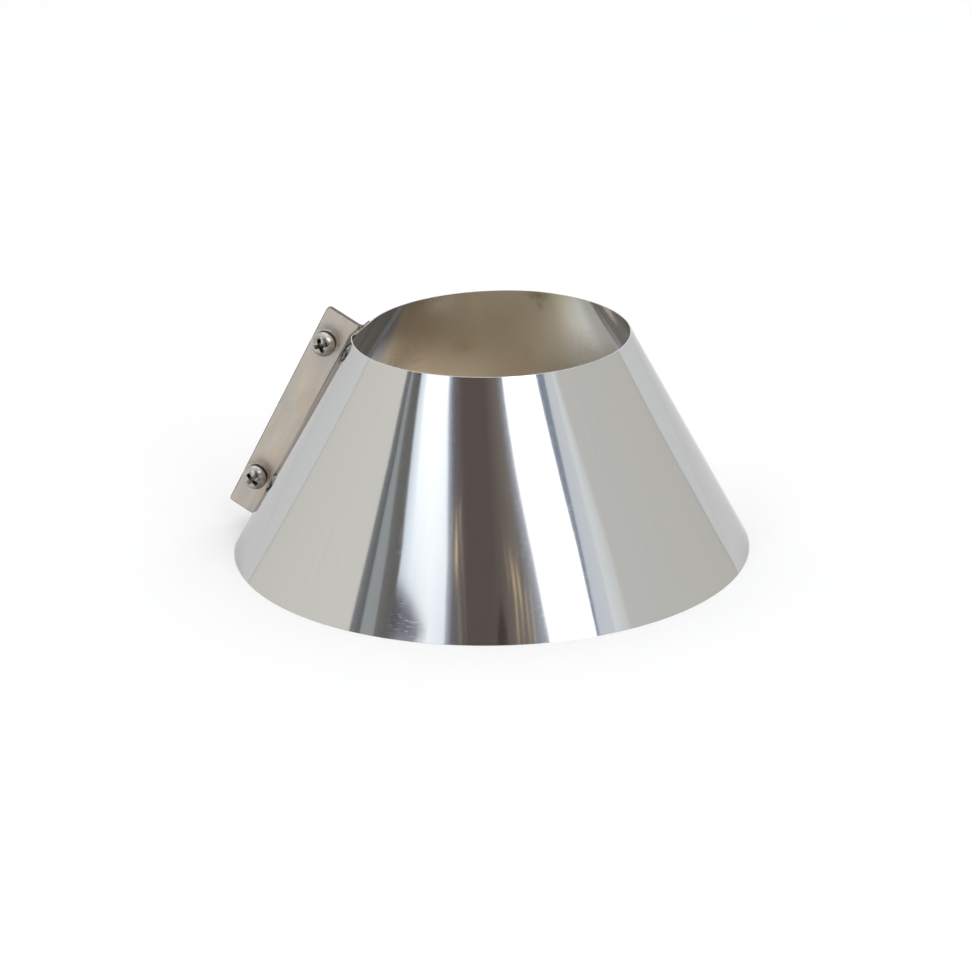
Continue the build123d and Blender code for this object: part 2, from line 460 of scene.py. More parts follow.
bm = bmesh.new()
light_layer = bm.loops.layers.float_color.new("light")
near_line = line_of(bm, panel_edge(streaks[0][1]))
near_verts = sorted(verts_of(near_line), key=height_of)
spread = [0.0, *levels, collar_height]
for (_, _, left, right), (_, azimuths, _, _) in zip(streaks, streaks[1:]):
    made = bmesh.ops.extrude_edge_only(bm, edges=near_line)["geom"]
    near_line = edges_in(made)
    far_verts = sorted(verts_in(made), key=height_of)
    for vert, corner in zip(far_verts, panel_edge(azimuths)):
        vert.co = corner
    lights = {vert: faded(left, height) for vert, height in zip(near_verts, spread)}
    lights.update((vert, faded(right, height)) for vert, height in zip(far_verts, spread))
    light_corners(light_layer, faces_in(made), lights)
    near_verts = far_verts
    near_line = [edge for edge in near_line if all(vert in far_verts for vert in edge.verts)]
stage_piece(bm, "tent_panels", [tent_glow], seen=False)

# %% [markdown]
# ## The small things in the mirror
#
# Inside the streaks the mirror also shows a few small things of the studio: a round dark shape that hides
# the foot of the left soft box, thin gilded stands in the dim room, and a dark post. Each is a flat shape
# just in front of the panels. It is drawn as the mark that it makes on the cone, and is carried out to the
# tent in the same way as the panels' edges. The last one is a dark band that lies on the ground inside the
# cone: painted shade, a dark glowing sheet where the cone has only shade at the foot of its inner wall.
# The inside mirrors it as the dark zones low on the left and on the right.

# %% Hang the small things
mark_radius = tent_radius - 0.04


def hang_mark(bm, layer, rows):
    """A strip of faces from rows of (left azimuth, right azimuth, height, left light, right light)."""
    lights = {}
    pairs = []
    for left, right, height, left_light, right_light in rows:
        ends = [bm.verts.new(bounce(azimuth, height * mm, mark_radius)) for azimuth in (left, right)]
        lights.update(zip(ends, (left_light, right_light)))
        pairs.append(ends)
    rungs = [bm.edges.new(pair) for pair in pairs]
    faces = []
    for one, other in zip(rungs, rungs[1:]):
        faces += bmesh.ops.bridge_loops(bm, edges=[one, other])["faces"]
    light_corners(layer, faces, lights)


circle_end = 101
pull_in = 0.1


def lay_shade(bm, layer, start, end, near, far, light):
    """A flat band of painted shade on the ground inside the cone, between two azimuths and between two radii
    in mm.
    """
    ground = Vector((0, 0, a_hair))
    first = line_of(bm, [direction(start) * radius * mm + ground for radius in (near, far)])
    spin(bm, first, radians(end - start), 40)
    faces = [face for face in bm.faces if face.calc_center_median().xy.length < 0.2]
    # Past the end of its true circle the base rim comes in by about 0.1 mm with every degree, and the band
    # has to stay under it, or it would look out from under the sheet behind
    for vert in {vert for face in faces for vert in face.verts}:
        past_circle = max(0, degrees(atan2(vert.co.y, vert.co.x)) - circle_end)
        under_rim = (far - pull_in * past_circle) * mm
        if vert.co.xy.length > under_rim:
            vert.co.xy *= under_rim / vert.co.xy.length
    light_corners(layer, faces, {vert: light for face in faces for vert in face.verts})


# %% List the marks
gilt, pale_gilt, tawny = (1.9, 1.4, 0.80), (1.1, 0.87, 0.57), (0.38, 0.325, 0.27)
shade, shade_edge = (0.10, 0.09, 0.10), (0.20, 0.205, 0.28)
post = (0.08, 0.062, 0.064)
round_shade = [
    (-93.7, -93.2, 21.0),
    (-93.8, -91.3, 18.3),
    (-93.8, -89.6, 14.8),
    (-93.8, -88.2, 11.2),
    (-93.7, -86.7, 7.2),
    (-93.6, -85.4, 4.3),
    (-93.6, -85.8, 2.6),
    (-93.5, -87.3, 0.8),
    (-93.5, -88.4, -4.0),
]
marks = {
    "round_shade": [(*row, shade, shade_edge) for row in round_shade],
    "left_stand_outer": [
        (-81.95, -81.75, 51.5, pale_gilt, pale_gilt),
        (-81.75, -81.55, 42.0, pale_gilt, tawny),
        (-80.4, -80.2, 28.0, tawny, tawny),
    ],
    "left_stand": [
        (-81.3, -80.9, 53.0, tawny, tawny),
        (-80.75, -80.35, 42.0, gilt, pale_gilt),
        (-80.3, -79.95, 33.0, gilt, gilt),
        (-79.75, -79.2, 24.0, tawny, tawny),
        (-78.6, -77.9, 1.0, tawny, tawny),
        (-78.5, -77.8, -4.0, tawny, tawny),
    ],
    "left_stand_inner": [
        (-80.25, -79.95, 53.5, pale_gilt, pale_gilt),
        (-79.4, -79.15, 41.0, pale_gilt, tawny),
        (-78.15, -77.95, 23.0, tawny, tawny),
        (-77.35, -77.2, 6.0, tawny, tawny),
        (-77.2, -77.05, -4.0, tawny, tawny),
    ],
    "right_stand_first": [
        (-68.6, -68.45, 39.0, pale_gilt, tawny),
        (-67.95, -67.75, 29.0, pale_gilt, tawny),
        (-67.7, -67.55, 20.0, tawny, tawny),
    ],
    "right_stand_second": [
        (-67.6, -67.35, 36.0, pale_gilt, tawny),
        (-66.75, -66.35, 26.0, gilt, pale_gilt),
        (-66.5, -66.05, 18.5, pale_gilt, tawny),
        (-66.4, -65.9, -4.0, tawny, tawny),
    ],
    "right_stand_third": [
        (-66.1, -65.95, 31.5, pale_gilt, gilt),
        (-65.45, -65.15, 21.5, gilt, gilt),
        (-65.5, -64.95, 18.0, tawny, pale_gilt),
        (-65.3, -64.9, -4.0, tawny, tawny),
    ],
    "right_rail_first": [
        (-64.25, -63.85, 21.0, pale_gilt, tawny),
        (-63.9, -63.45, -4.0, tawny, tawny),
    ],
    "right_rail_second": [
        (-63.1, -62.8, 21.0, pale_gilt, tawny),
        (-62.75, -62.35, -4.0, pale_gilt, tawny),
    ],
    "dark_post": [
        (-69.75, -69.55, 15.5, post, dim),
        (-70.3, -68.95, 9.5, post, post),
        (-70.6, -68.5, 5.5, post, post),
        (-70.6, -68.4, -4.0, post, post),
    ],
}
# Painted shade: a dark glowing band on the ground at the foot of the cone's inner wall
ground_shade_glow = (0.26, 0.265, 0.27)
bm = bmesh.new()
light_layer = bm.loops.layers.float_color.new("light")
for rows in marks.values():
    hang_mark(bm, light_layer, rows)
lay_shade(bm, light_layer, start=80, end=145, near=108.5, far=119.7, light=ground_shade_glow)
stage_piece(bm, "small_things", [tent_glow], seen=False)

# %% [markdown]
# ## The grain and scratch groups
#
# All of the steel on this part shares two effects: a grain of fine streaks along the direction in which
# it was rolled or brushed, and hairline scratches from handling. Each is a node group, built once, that
# puts out plain values. The materials decide what the values change.


# %% Build the grain group
def new_group(name, inputs, outputs):
    group = bpy.data.node_groups.new(name, "ShaderNodeTree")
    for label, kind, value in inputs:
        socket = group.interface.new_socket(label, in_out="INPUT", socket_type=kind)
        if value is not None:
            socket.default_value = value
    for label in outputs:
        group.interface.new_socket(label, in_out="OUTPUT", socket_type="NodeSocketFloat")
    return group, group.nodes.new("NodeGroupInput"), group.nodes.new("NodeGroupOutput")


grain_group, grain_in, grain_out = new_group(
    "steel_grain",
    [
        ("Place", "NodeSocketVector", None),
        ("Stretch", "NodeSocketVector", (1, 1, 1)),
        ("Blotch Size", "NodeSocketFloat", 60.0),
    ],
    ["Streaks", "Blotches"],
)
place, stretch, blotch_size = grain_in.outputs[:3]
stretched = add(grain_group, "ShaderNodeMapping", Vector=place, Scale=stretch).outputs[0]
fine = add(grain_group, "ShaderNodeTexNoise", Vector=stretched, Scale=1.0, Detail=4.0, Roughness=0.6)
wide = add(grain_group, "ShaderNodeTexNoise", Vector=place, Scale=blotch_size, Detail=2.0, Roughness=0.5)
grain_group.links.new(fine.outputs["Fac"], grain_out.inputs["Streaks"])
grain_group.links.new(wide.outputs["Fac"], grain_out.inputs["Blotches"])

# %% Build the scratch group
scratch_group, scratch_in, scratch_out = new_group(
    "hairline_scratches",
    [
        ("Place", "NodeSocketVector", None),
        ("Spacing", "NodeSocketFloat", 120.0),
        ("Length", "NodeSocketFloat", 6.0),
        ("Amount", "NodeSocketFloat", 0.5),
    ],
    ["Mask"],
)


def scratch_layer(turn_degrees, seed):
    """Long thin cells of a stretched noise, of which only the crests are kept."""
    turned = add(
        scratch_group,
        "ShaderNodeMapping",
        Vector=scratch_in.outputs["Place"],
        Rotation=(0, 0, radians(turn_degrees)),
        Location=(seed, seed * 0.7, 0),
    )
    length, spacing = scratch_in.outputs["Length"], scratch_in.outputs["Spacing"]
    spread = add(scratch_group, "ShaderNodeCombineXYZ", X=length, Y=spacing, Z=1.0)
    long_cells = reckon_vector(scratch_group, "MULTIPLY", turned.outputs[0], spread.outputs[0])
    noise = add(scratch_group, "ShaderNodeTexNoise", Vector=long_cells.outputs[0], Scale=1.0, Detail=1.0)
    return ramp(scratch_group, noise.outputs["Fac"], (0.66, 0.0), (0.70, 1.0))


both = reckon(scratch_group, "MAXIMUM", scratch_layer(4, 0.3), scratch_layer(-13, 2.1))
mask = reckon(scratch_group, "MULTIPLY", both, scratch_in.outputs["Amount"])
scratch_group.links.new(mask, scratch_out.inputs["Mask"])


# %% Helpers for the steel finishes
def use_group(tree, group, **sockets):
    node = tree.nodes.new("ShaderNodeGroup")
    node.node_tree = group
    return fill(tree, node, **sockets)


def new_steel(name):
    """A metal's material, its shader and its node tree."""
    material, shader = new_material(name)
    shader.inputs["Metallic"].default_value = 1
    return material, shader, material.node_tree


def roughen(tree, shader, grain, least, more):
    """The roughness goes up from the least by this much along the grain's streaks."""
    rough = reckon(tree, "MULTIPLY", grain.outputs["Streaks"], more)
    tree.links.new(reckon(tree, "ADD", rough, least), shader.inputs["Roughness"])


def grained_steel(name, fineness, blotch, pattern, dark, light, roughness, rougher=None):
    """Steel whose tone goes from dark to light with one pattern. Each of these is a level and a tone."""
    material, shader, tree = new_steel(name)
    place = add(tree, "ShaderNodeTexCoord").outputs["Object"]
    grain = use_group(tree, grain_group, Place=place, Stretch=(fineness,) * 3, Blotch_Size=blotch)
    tree.links.new(ramp(tree, grain.outputs[pattern], dark, light), shader.inputs["Base Color"])
    if rougher is None:
        shader.inputs["Roughness"].default_value = roughness
    else:
        roughen(tree, shader, grain, roughness, rougher)
    return material


# %% [markdown]
# ## The collar's finishes
#
# The outside is polished to a mirror, so it has a low roughness that blurs a streak's edge by a degree
# or two, and very little colour of its own. Hairline scratches and specks of dust catch the light where
# the mirror is dark. The inside is the mill side of the sheet: duller, warmer, and stained near the rim.
# The patterns follow the rolled sheet, so they read its own UV map, in metres along the rim and up the
# slope.

# %% Make the mirror finish
uv_radius = 90 * mm
mirror_finish, mirror, tree = new_steel("mirror_steel")
rolled = add(tree, "ShaderNodeUVMap")
rolled.uv_map = "rolled_sheet"
grain = use_group(tree, grain_group, Place=rolled.outputs[0], Stretch=(2600, 16, 1), Blotch_Size=9.0)
scratches = use_group(tree, scratch_group, Place=rolled.outputs[0], Spacing=2200.0, Length=260.0, Amount=1.0)
tone = ramp(tree, grain.outputs["Streaks"], (0.25, (0.52, 0.52, 0.51)), (0.75, (0.545, 0.545, 0.535)))
fill(tree, mirror, Base_Color=tone, Specular_Tint=(0.80, 0.80, 0.81, 1))
haze = reckon(tree, "MULTIPLY", grain.outputs["Streaks"], 0.03)
haze = reckon(tree, "ADD", haze, 0.045)
worn = reckon(tree, "MULTIPLY", scratches.outputs["Mask"], 0.05)
tree.links.new(reckon(tree, "ADD", haze, worn), mirror.inputs["Roughness"])

# %% Make the inner finish
# The inner side is a duller mirror. A brown film lies on the back of it, from about 83 to 150 degrees
# round the rim, with a few darker stains. Beside the film the tones are painted reflection and painted
# shade: a bright cool zone from 35 to 55 degrees, a glow near 69 degrees and a dark zone at 154 degrees.
# All of them were set against the photograph, which can't tell a film from a reflection, so part
# of what is a finish here may be the room on the real collar
inner_finish, inner, tree = new_steel("mill_side_steel")
rolled = add(tree, "ShaderNodeUVMap")
rolled.uv_map = "rolled_sheet"
metres_per_degree = radians(1) * uv_radius
round_rim = add(tree, "ShaderNodeSeparateXYZ", Vector=rolled.outputs[0]).outputs["X"]
turned = reckon(tree, "DIVIDE", round_rim, metres_per_degree * 360)
grain = use_group(tree, grain_group, Place=rolled.outputs[0], Stretch=(30, 900, 1), Blotch_Size=24.0)
crumbs = use_group(tree, grain_group, Place=rolled.outputs[0], Stretch=(420, 300, 1), Blotch_Size=260.0)
bare_and_painted_glow, film, film_deep = (0.72, 0.755, 0.72), (0.61, 0.50, 0.36), (0.60, 0.475, 0.325)
near, painted_bright_reflection, painted_dark_reflection = (0.60, 0.605, 0.615), (0.79, 0.81, 0.85), (0.40, 0.405, 0.43)
# Painted reflection and painted shade: the bright cool zone from 35 to 55 degrees, the glow near 69 degrees
# and the dark zone at 154 degrees, with the steps between them
zone_tones = [
    (15, near),
    (35, painted_bright_reflection),
    (55, painted_bright_reflection),
    (59, (0.50, 0.51, 0.48)),
    (64, (0.52, 0.53, 0.50)),
    (69, bare_and_painted_glow),
    (75, (0.70, 0.70, 0.62)),
    (83, (0.56, 0.495, 0.375)),
    (95, film),
    (124, film),
    (134, film_deep),
    (144, film_deep),
    (149, (0.66, 0.56, 0.42)),
    (154, painted_dark_reflection),
]
zones = ramp(tree, turned, *[(azimuth / 360, tone) for azimuth, tone in zone_tones])
cloudy = ramp(tree, grain.outputs["Blotches"], (0.3, (0.93, 0.92, 0.90)), (0.7, (1.0, 1.0, 1.0)))
zones = mix_colour(tree, 1.0, zones, cloudy, "MULTIPLY")


def stain(colour, azimuth, height, wide, tall, tone, strength):
    """A soft spot of tone on the sheet, at this azimuth and height, wide and tall in mm."""
    middle = (azimuth * metres_per_degree, height * mm / cos(flare), 0)
    apart = reckon_vector(tree, "SUBTRACT", rolled.outputs[0], middle)
    size = (1 / (wide * mm), 1 / (tall * mm), 0)
    fitted = reckon_vector(tree, "MULTIPLY", apart.outputs[0], size)
    far = reckon_vector(tree, "LENGTH", fitted.outputs[0])
    ragged = reckon(tree, "MULTIPLY", crumbs.outputs["Streaks"], 0.7)
    reach = reckon(tree, "MULTIPLY", far.outputs["Value"], 0.4)
    cover = ramp(tree, reckon(tree, "ADD", reach, ragged), (0.35, strength), (0.85, 0.0))
    return mix_colour(tree, cover, colour, tone)


amber, umber = (0.50, 0.385, 0.215), (0.30, 0.225, 0.115)
for spot in (
    (76.0, 101, 8, 6, (0.70, 0.70, 0.50), 0.6),
    (84.0, 98, 11, 10, (0.60, 0.56, 0.40), 0.5),
    (87.4, 102, 8, 4.5, umber, 0.7),
    (87.3, 96, 3, 4, umber, 0.5),
    (113.5, 92, 7, 22, (0.64, 0.525, 0.355), 0.6),
    (115.0, 79, 6, 11, (0.58, 0.465, 0.30), 0.6),
    (117.5, 71, 7, 6, amber, 0.75),
    (73.0, 71, 22, 15, (0.52, 0.47, 0.41), 0.85),
    (134.0, 85, 18, 16, (0.52, 0.39, 0.26), 0.6),
    (129.5, 99, 12, 7, (0.78, 0.70, 0.56), 0.7),
    (143.0, 67, 15, 12, (0.34, 0.28, 0.21), 0.85),
    (95.5, 66, 4, 8, umber, 0.2),
):
    zones = stain(zones, *spot)
tree.links.new(zones, inner.inputs["Base Color"])
roughen(tree, inner, grain, least=0.055, more=0.04)

# %% Make the finishes of the cut edges, the darker one with painted shade
rim_finish = grained_steel(
    "trimmed_rim_steel", 900, 300.0, "Streaks",
    (0.35, (0.45, 0.45, 0.44)), (0.65, (0.72, 0.72, 0.71)), 0.35,
)
# The lugs' sheared ends, rounded edges and narrow border: darker as wear, and as painted shade on the end
# faces
edge_wear_and_shade_finish = grained_steel(
    "sheared_edge_wear_and_shade_steel", 900, 300.0, "Streaks",
    (0.35, (0.12, 0.112, 0.105)), (0.65, (0.24, 0.225, 0.21)), 0.45,
)

# %% [markdown]
# ## The collar
#
# The real collar is one flat sheet that is rolled up, so the mesh is made in the same way. It starts as
# the section of the sheet at the slit, a thin sloping loop with rounded corners. The loop is extruded from
# station to station round the two rims and ends inside the place where it began. A station knows its spot
# on both rims, and the sheet runs straight between them. That matters at the slit, where the collar is
# pulled in more at the top than at the base, so that a plain turn about an upright axis wouldn't do.

# %% Lay out the rims
out_of_slit = direction(slit_azimuth)
to_front = direction(slit_azimuth + 90)
bend_end = slit_azimuth + bend_turn
front_end = bend_end + front_turn
true_end = front_end + true_turn
tight_end = true_end + tight_turn
full_turn = slit_azimuth + 360


def flat_cross(a, b):
    return a.x * b.y - a.y * b.x


def rim_outline(true_radius, front_radius, bend_radius, slit_side=None):
    """The slit's spot on one rim, and the centre, outer radius, start and end of each arc."""
    front_centre = direction(front_end) * (true_radius - front_radius)
    bend_centre = front_centre + direction(bend_end) * (front_radius - bend_radius)
    if slit_side is None:
        slit_side = bend_centre.dot(to_front) - end_flat
    slit = out_of_slit * (bend_centre.dot(out_of_slit) + bend_radius) + to_front * slit_side
    way_left = (
        slit
        - out_of_slit * ((sheet + lap_gap) / cos(flare))
        - to_front * end_flat
        - direction(true_end) * true_radius
    )
    tight_step = direction(tight_end) - direction(true_end)
    back_step = direction(full_turn) - direction(tight_end)
    tight_radius = flat_cross(way_left, back_step) / flat_cross(tight_step, back_step)
    back_radius = flat_cross(tight_step, way_left) / flat_cross(tight_step, back_step)
    tight_centre = direction(true_end) * (true_radius - tight_radius)
    back_centre = tight_centre + direction(tight_end) * (tight_radius - back_radius)
    arcs = [
        (bend_centre, bend_radius, slit_azimuth, bend_end),
        (front_centre, front_radius, bend_end, front_end),
        (Vector(), true_radius, front_end, true_end),
        (tight_centre, tight_radius, true_end, tight_end),
        (back_centre, back_radius, tight_end, full_turn),
    ]
    return slit, arcs


top_front_radius, top_bend_radius = 58 * mm, 5 * mm
base_front_radius, base_bend_radius = 119.8 * mm, 13.3 * mm
top_slit, top_arcs = rim_outline(top_radius, top_front_radius, top_bend_radius)
slit_side = top_slit.dot(to_front)
base_slit, base_arcs = rim_outline(base_radius, base_front_radius, base_bend_radius, slit_side)
print("top arcs in mm:", [round(arc[1] / mm, 1) for arc in top_arcs])
print("base arcs in mm:", [round(arc[1] / mm, 1) for arc in base_arcs])

# %% Walk round the rims
up = Vector((0, 0, collar_height))
flat_steps = 6
arc_steps = (10, 36, 130, 16, 50)


def on_arc(arc, way):
    """The spot on a rim's arc that lies this way from the arc's centre."""
    return arc[0] + way * arc[1]


# Each station is the way out of the sheet, the spot on the top rim and the spot on the base rim
first_station = (out_of_slit, top_slit + up, base_slit)
bend_spots = (on_arc(top_arcs[0], out_of_slit) + up, on_arc(base_arcs[0], out_of_slit))
stations = [first_station]
for k in range(1, flat_steps + 1):
    spots = [spot.lerp(goal, k / flat_steps) for spot, goal in zip(first_station[1:], bend_spots)]
    stations.append((out_of_slit, *spots))
for top_arc, base_arc, steps in zip(top_arcs, base_arcs, arc_steps):
    for k in range(1, steps + 1):
        way = direction(top_arc[2] + (top_arc[3] - top_arc[2]) * k / steps)
        stations.append((way, on_arc(top_arc, way) + up, on_arc(base_arc, way)))
_, top_end, base_end = stations[-1]
for k in range(1, flat_steps + 1):
    run = to_front * ((end_flat + lap) * k / flat_steps)
    stations.append((out_of_slit, top_end + run, base_end + run))
print(len(stations), "stations round the rims")

# %% Roll the collar
corner_round = 0.08 * mm
slope_cuts = 11

bm = bmesh.new()
outer_line = first_station[1:]
inner_line = [spot - out_of_slit * level_sheet for spot in reversed(outer_line)]
rounded_section(bm, [*outer_line, *inner_line], corner_round, 2)
long_sides = [edge for edge in bm.edges if edge.calc_length() > 0.9 * collar_height]
bmesh.ops.subdivide_edges(bm, edges=long_sides, cuts=slope_cuts)


def carry(verts, old, new):
    """Moves a loop from one station to the next, each vertex at its own height and depth in the sheet."""
    for vert in verts:
        drop = 1 - vert.co.z / collar_height
        depth = (vert.co - old[1].lerp(old[2], drop)).dot(old[0])
        vert.co = new[1].lerp(new[2], drop) + new[0] * depth


first_ring = bm.edges[:]
ring = first_ring
for old, new in zip(stations, stations[1:]):
    made = bmesh.ops.extrude_edge_only(bm, edges=ring)["geom"]
    ring = [edge for edge in edges_in(made) if len(edge.link_faces) == 1]
    carry(verts_of(ring), old, new)
bmesh.ops.holes_fill(bm, edges=first_ring, sides=0)
bmesh.ops.holes_fill(bm, edges=ring, sides=0)
bmesh.ops.remove_doubles(bm, verts=bm.verts, dist=0.001 * mm)
bmesh.ops.recalc_face_normals(bm, faces=bm.faces)

# %% Sort the collar's faces and lay its UV map
outside, inside, cut = 0, 1, 2
near_enough = 0.12
rolled_uv = bm.loops.layers.uv.new("rolled_sheet")
for face in bm.faces:
    rise = face.normal.z / sin(flare)
    if abs(rise - 1) < near_enough:
        face.material_index = outside
    elif abs(rise + 1) < near_enough:
        face.material_index = inside
    else:
        face.material_index = cut
    middle = degrees(atan2(face.calc_center_median().y, face.calc_center_median().x))
    for corner in face.loops:
        spot = corner.vert.co
        azimuth = degrees(atan2(spot.y, spot.x))
        azimuth += 360 * round((middle - azimuth) / 360)
        corner[rolled_uv].uv = (radians(azimuth) * uv_radius, spot.z / cos(flare))

collar = finish_piece(bm, "rolled_collar", [mirror_finish, inner_finish, rim_finish])
stand_for(collar, "collar")

# %% [markdown]
# ## The lugs
#
# A lug is a strip of sheet, folded to an L, with two holes in its standing leg. It is modelled as it is
# made: the leg is cut out flat with its round corners and its holes, the lower edge is folded through a
# right angle, and the foot runs on from the fold and ends at the collar's rim. A Solidify modifier gives
# the strip its thickness and a Bevel takes off the sharp edges. The steel is satin, with a grain along the
# strip. The sheared ends, the rounded edges and a narrow border of the leg are darker, as wear and as
# painted shade on the end faces.

# %% The lugs' sizes and place
lug_sheet = 1.0 * mm
lug_rise = 1.0 * mm
lug_to_base = 4.8 * mm
upper_leg_height = 18.2 * mm
lower_leg_height = 16.9 * mm
foot_width = 12 * mm
lug_bend = 1.0 * mm
upper_leg_corner = 2 * mm
lower_leg_corner = 1.6 * mm
foot_corner = 1 * mm
screw_diameter = 6 * mm
hole_clearance = 0.6 * mm
hole_radius = (screw_diameter + hole_clearance) / 2
hole_to_free_edge = 6.9 * mm
upper_end_to_hole = 16.0 * mm
lower_end_to_hole = 19.6 * mm
worn_shaded_border = 0.4 * mm

slit_line = base_slit - top_slit - up
down_slope = slit_line.normalized()
out_of_sheet = down_slope.cross(to_front)
rear_seat = -(sheet + lap_gap) / cos(flare) * out_of_slit.dot(out_of_sheet)
lug_length = slit_line.length + lug_rise - lug_to_base
hole_places = []
for reach in (upper_end_to_hole, lug_length - lower_end_to_hole):
    leg_height = upper_leg_height + (lower_leg_height - upper_leg_height) * reach / lug_length
    hole_places.append((reach, leg_height - hole_to_free_edge))
lug_turn = Matrix((down_slope, to_front, out_of_sheet)).transposed()
lug_place = Matrix.Translation(top_slit + up - down_slope * lug_rise) @ lug_turn.to_4x4()
holes_in_mm = [(round(x / mm, 1), round(z / mm, 1)) for x, z in hole_places]
print(f"lugs {lug_length / mm:.1f} mm long, holes at {holes_in_mm}")

# %% Make the satin finish
satin_finish, satin, tree = new_steel("satin_steel")
place = add(tree, "ShaderNodeTexCoord")
along = add(tree, "ShaderNodeMapping", Vector=place.outputs["Object"], Rotation=(0, pi / 2 - flare, 0))
grain = use_group(tree, grain_group, Place=along.outputs[0], Stretch=(60, 1500, 1500), Blotch_Size=55.0)
clouds = use_group(tree, grain_group, Place=along.outputs[0], Stretch=(30, 160, 160), Blotch_Size=120.0)
streaky = ramp(tree, grain.outputs["Streaks"], (0.3, (0.53, 0.487, 0.43)), (0.7, (0.575, 0.532, 0.473)))
blue_white_pink = (0.38, (0.93, 0.945, 0.985)), (0.5, (1.0, 1.0, 1.0)), (0.62, (1.035, 0.98, 0.945))
pinkish = ramp(tree, grain.outputs["Blotches"], *blue_white_pink)
worn_tone = mix_colour(tree, 1.0, streaky, pinkish, "MULTIPLY")
patchy = ramp(tree, clouds.outputs["Streaks"], (0.35, (0.90, 0.895, 0.885)), (0.62, (1.03, 1.03, 1.03)))
worn_tone = mix_colour(tree, 1.0, worn_tone, patchy, "MULTIPLY")
tree.links.new(worn_tone, satin.inputs["Base Color"])
roughen(tree, satin, grain, least=0.42, more=0.15)
lift = add(tree, "ShaderNodeBump", Strength=0.15, Distance=0.03 * mm, Height=grain.outputs["Streaks"])
tree.links.new(lift.outputs[0], satin.inputs["Normal"])


# %% Cut out the leg
fold_radius = lug_bend + lug_sheet


def cut_leg(seat):
    """The flat leg down to the fold, for a foot at this height."""
    bm = bmesh.new()
    outline = loop_of(
        bm,
        [
            (0, 0, seat + fold_radius),
            (lug_length, 0, seat + fold_radius),
            (lug_length, 0, lower_leg_height),
            (0, 0, upper_leg_height),
        ],
    )
    bmesh.ops.contextual_create(bm, geom=outline)
    upper_half = [vert for vert in bm.verts if vert.co.z > lower_leg_height / 2]
    for corner, rounding in zip(sorted(upper_half, key=height_of), (lower_leg_corner, upper_leg_corner)):
        round_corners(bm, [corner], rounding, 8)
    bmesh.ops.delete(bm, geom=bm.faces[:], context="FACES_ONLY")
    for reach, height in hole_places:
        stand = Matrix.Translation((reach, 0, height)) @ Matrix.Rotation(pi / 2, 4, "X")
        bmesh.ops.create_circle(bm, cap_ends=False, segments=48, radius=hole_radius, matrix=stand)
    bmesh.ops.triangle_fill(bm, edges=bm.edges[:], use_beauty=True, use_dissolve=False)
    border = bmesh.ops.inset_region(
        bm, faces=bm.faces[:], thickness=worn_shaded_border, depth=0, use_boundary=True, use_even_offset=True
    )["faces"]
    # The narrow border round the leg takes the dark edge finish: wear, and painted shade
    for face in border:
        if face.calc_center_median().z > seat + fold_radius + worn_shaded_border:
            face.material_index = 1
    return bm


# %% Fold the foot
def fold_foot(bm, seat):
    """Folds the leg's lower edge through a right angle, and runs the foot on to the rim."""
    fold_top = seat + fold_radius
    fold_edge = [edge for edge in bm.edges if all(v.co.z < fold_top + 0.01 * mm for v in edge.verts)]
    folded = spin(bm, fold_edge, pi / 2, 10, centre=(0, fold_radius, fold_top), axis=(1, 0, 0))
    foot_edge = edges_in(folded["geom_last"])
    made = bmesh.ops.extrude_edge_only(bm, edges=foot_edge)["geom"]
    foot_verts = verts_in(made)
    bmesh.ops.translate(bm, vec=(0, foot_width - fold_radius, 0), verts=foot_verts)
    foot = faces_in(made)
    cut_at(bm, foot + edges_of(foot) + foot_verts, (lug_rise, 0, 0), (1, 0, 0))
    centres = [(face, face.calc_center_median()) for face in bm.faces]
    past_rim = [face for face, spot in centres if spot.x < lug_rise and spot.y > fold_radius]
    bmesh.ops.delete(bm, geom=past_rim, context="FACES")
    far_verts = [vert for vert in bm.verts if vert.co.y > foot_width - 0.01 * mm]
    round_corners(bm, far_verts, foot_corner, 6)


# %% Place the lugs and give them their thickness
edge_round = 0.4 * mm


def fold_lug(name, seat, side):
    """side is 1 for the lug at the front and -1 for its mirror image behind the slit."""
    bm = cut_leg(seat)
    fold_foot(bm, seat)
    bmesh.ops.scale(bm, vec=(1, side, 1), verts=bm.verts)
    bmesh.ops.transform(bm, matrix=lug_place, verts=bm.verts)
    bmesh.ops.remove_doubles(bm, verts=bm.verts, dist=0.001 * mm)
    bmesh.ops.recalc_face_normals(bm, faces=bm.faces)
    leg_face = max(bm.faces, key=lambda face: abs(face.normal.dot(to_front)))
    if leg_face.normal.dot(to_front) * side > 0:
        bmesh.ops.reverse_faces(bm, faces=bm.faces)
    lug = finish_piece(bm, name, [satin_finish, edge_wear_and_shade_finish], radians(25))
    wall = lug.modifiers.new("wall", "SOLIDIFY")
    # The wall's rim faces and the bevel take the dark edge finish: wear, and painted shade on the end faces
    wall.material_offset_rim = 1
    wall.thickness = lug_sheet
    wall.offset = -1
    wall.use_even_offset = True
    soft_edge = lug.modifiers.new("soft_edge", "BEVEL")
    soft_edge.width = edge_round
    soft_edge.material = 1
    soft_edge.segments = 2
    soft_edge.limit_method = "ANGLE"
    soft_edge.angle_limit = radians(50)
    return lug


front_lug = fold_lug("folded_front_lug", 0, 1)
stand_for(front_lug, "front_lug")
rear_lug = fold_lug("folded_rear_lug", rear_seat, -1)
stand_for(rear_lug, "rear_lug")

# %% [markdown]
# ## The washers, screws and nuts
#
# These are turned pieces, so each starts as half of its section and is spun about its axis. A spring
# washer is spun for less than a full turn, so that its slit stays open. The screw and nut need one more
# step each. The screw head's cross is cut into the finished dome with planes, and pressed down. The nut's
# six flats are cut off the turned blank, which leaves the curved chamfers that a real nut has. The thread
# is a zigzag line that is spun and lifted at once.

